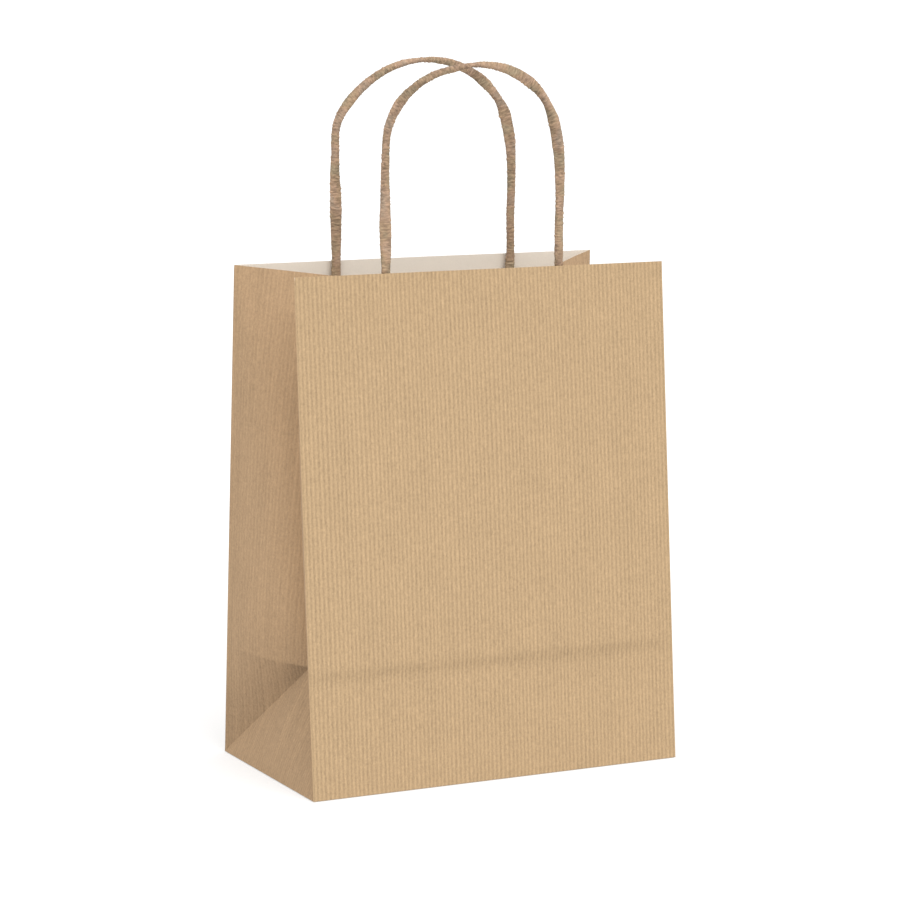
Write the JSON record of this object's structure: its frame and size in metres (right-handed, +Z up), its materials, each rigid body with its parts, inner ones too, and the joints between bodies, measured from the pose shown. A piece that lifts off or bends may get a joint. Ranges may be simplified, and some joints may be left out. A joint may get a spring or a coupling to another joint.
{
  "type": "gift bag",
  "caption": "Upright kraft paper gift bag with side gussets, folded block bottom and two twisted paper cord handles that swing; the mouth draws shut.",
  "frame": {"origin": "middle of the base, on the surface that the bag stands on", "axes": "+Z up towards the handles, +X across the front panel to its right as seen from the front, front panel facing -Y"},
  "size_m": [0.203, 0.114, 0.3562],
  "materials": {
    "ribbed_kraft": "uncoated ribbed kraft paper, matt, fine upright ribs",
    "gusset_kraft": "uncoated kraft paper, matt, ribs seen at a slant",
    "inner_kraft": "uncoated kraft paper, matt, glued layers",
    "patch_kraft": "smooth kraft paper strip",
    "twisted_kraft": "twisted and wrinkled kraft paper cord, fibrous, matt"
  },
  "bodies": {
    "base": {"bottom_outer_flap": "inner_kraft", "bottom_inner_flap": "inner_kraft", "bottom_tuck_left": "inner_kraft", "bottom_tuck_right": "inner_kraft"},
    "front_panel": {"front_panel": "ribbed_kraft", "front_handle_patch_backing": "patch_kraft", "front_handle_patch_cover": "patch_kraft", "front_handle_cord_end_left": "twisted_kraft", "front_handle_cord_end_right": "twisted_kraft"},
    "back_panel": {"back_panel": "ribbed_kraft", "side_seam_flap": "inner_kraft", "back_handle_patch_backing": "patch_kraft", "back_handle_patch_cover": "patch_kraft", "back_handle_cord_end_left": "twisted_kraft", "back_handle_cord_end_right": "twisted_kraft"},
    "left_gusset_toe": {"left_gusset_toe": "gusset_kraft"},
    "left_gusset_front_lower": {"left_gusset_front_lower": "gusset_kraft"},
    "left_gusset_front_upper": {"left_gusset_front_upper": "gusset_kraft"},
    "left_gusset_back_lower": {"left_gusset_back_lower": "gusset_kraft"},
    "left_gusset_back_upper": {"left_gusset_back_upper": "gusset_kraft"},
    "right_gusset_toe": {"right_gusset_toe": "gusset_kraft"},
    "right_gusset_front_lower": {"right_gusset_front_lower": "gusset_kraft"},
    "right_gusset_front_upper": {"right_gusset_front_upper": "gusset_kraft"},
    "right_gusset_back_lower": {"right_gusset_back_lower": "gusset_kraft"},
    "right_gusset_back_upper": {"right_gusset_back_upper": "gusset_kraft"},
    "front_handle_neck": {"front_handle_neck_left": "twisted_kraft", "front_handle_neck_right": "twisted_kraft"},
    "front_handle": {"front_handle": "twisted_kraft"},
    "back_handle_neck": {"back_handle_neck_left": "twisted_kraft", "back_handle_neck_right": "twisted_kraft"},
    "back_handle": {"back_handle": "twisted_kraft"}
  },
  "joints": [
    {"name": "mouth_close", "type": "hinge", "parent": "base", "child": "front_panel", "pos_m": [0, -0.057, 0], "axis": [-1, 0, 0], "range_deg": [0, 6.6]},
    {"name": "back_panel_lean", "type": "hinge", "parent": "base", "child": "back_panel", "pos_m": [0, 0.057, 0], "axis": [1, 0, 0], "range_deg": [0, 6.7]},
    {"name": "left_gusset_toe_lean", "type": "hinge", "parent": "base", "child": "left_gusset_toe", "pos_m": [-0.1015, 0, 0], "axis": [0, 1, 0], "range_deg": [0, 12.5]},
    {"name": "left_gusset_front_fold", "type": "hinge", "parent": "front_panel", "child": "left_gusset_front_lower", "pos_m": [-0.1015, -0.057, 0], "axis": [0, -0.075, -0.9972], "range_deg": [0, 12.5]},
    {"name": "left_gusset_front_bend", "type": "hinge", "parent": "left_gusset_front_lower", "child": "left_gusset_front_upper", "pos_m": [-0.08021, 0, 0.05287], "axis": [0.1038, 0.1851, -0.9772], "range_deg": [0, 20.61]},
    {"name": "left_gusset_back_fold", "type": "hinge", "parent": "back_panel", "child": "left_gusset_back_lower", "pos_m": [-0.1015, 0.057, 0], "axis": [0, -0.075, 0.9972], "range_deg": [0, 12.5]},
    {"name": "left_gusset_back_bend", "type": "hinge", "parent": "left_gusset_back_lower", "child": "left_gusset_back_upper", "pos_m": [-0.08021, 0, 0.05287], "axis": [-0.1038, 0.1851, 0.9772], "range_deg": [0, 20.61]},
    {"name": "right_gusset_toe_lean", "type": "hinge", "parent": "base", "child": "right_gusset_toe", "pos_m": [0.1015, 0, 0], "axis": [0, -1, 0], "range_deg": [0, 12.5]},
    {"name": "right_gusset_front_fold", "type": "hinge", "parent": "front_panel", "child": "right_gusset_front_lower", "pos_m": [0.1015, -0.057, 0], "axis": [0, 0.075, 0.9972], "range_deg": [0, 12.5]},
    {"name": "right_gusset_front_bend", "type": "hinge", "parent": "right_gusset_front_lower", "child": "right_gusset_front_upper", "pos_m": [0.08021, 0, 0.05287], "axis": [0.1038, -0.1851, 0.9772], "range_deg": [0, 20.61]},
    {"name": "right_gusset_back_fold", "type": "hinge", "parent": "back_panel", "child": "right_gusset_back_lower", "pos_m": [0.1015, 0.057, 0], "axis": [0, 0.075, -0.9972], "range_deg": [0, 12.5]},
    {"name": "right_gusset_back_bend", "type": "hinge", "parent": "right_gusset_back_lower", "child": "right_gusset_back_upper", "pos_m": [0.08021, 0, 0.05287], "axis": [-0.1038, -0.1851, -0.9772], "range_deg": [0, 20.61]},
    {"name": "front_handle_neck_bend", "type": "hinge", "parent": "front_panel", "child": "front_handle_neck", "pos_m": [0, -0.03506, 0.25328], "axis": [1, 0, 0], "range_deg": [0, 6.7]},
    {"name": "front_handle_swing", "type": "hinge", "parent": "front_handle_neck", "child": "front_handle", "pos_m": [0, -0.03796, 0.26128], "axis": [1, 0, 0], "range_deg": [0, 135]},
    {"name": "back_handle_neck_bend", "type": "hinge", "parent": "back_panel", "child": "back_handle_neck", "pos_m": [0, 0.03506, 0.25328], "axis": [-1, 0, 0], "range_deg": [0, 6.7]},
    {"name": "back_handle_swing", "type": "hinge", "parent": "back_handle_neck", "child": "back_handle", "pos_m": [0, 0.03796, 0.26128], "axis": [-1, 0, 0], "range_deg": [0, 135]}
  ],
  "couplings": [
    {"joint": "back_panel_lean", "follows": "mouth_close", "ratio": 1},
    {"joint": "left_gusset_toe_lean", "follows": "mouth_close", "ratio": 1.8786},
    {"joint": "left_gusset_front_fold", "follows": "mouth_close", "ratio": 1.8786},
    {"joint": "left_gusset_front_bend", "follows": "mouth_close", "ratio": 3.1081},
    {"joint": "left_gusset_back_fold", "follows": "mouth_close", "ratio": 1.8786},
    {"joint": "left_gusset_back_bend", "follows": "mouth_close", "ratio": 3.1081},
    {"joint": "right_gusset_toe_lean", "follows": "mouth_close", "ratio": 1.8786},
    {"joint": "right_gusset_front_fold", "follows": "mouth_close", "ratio": 1.8786},
    {"joint": "right_gusset_front_bend", "follows": "mouth_close", "ratio": 3.1081},
    {"joint": "right_gusset_back_fold", "follows": "mouth_close", "ratio": 1.8786},
    {"joint": "right_gusset_back_bend", "follows": "mouth_close", "ratio": 3.1081},
    {"joint": "front_handle_neck_bend", "follows": "mouth_close", "ratio": 1},
    {"joint": "back_handle_neck_bend", "follows": "mouth_close", "ratio": 1}
  ]
}
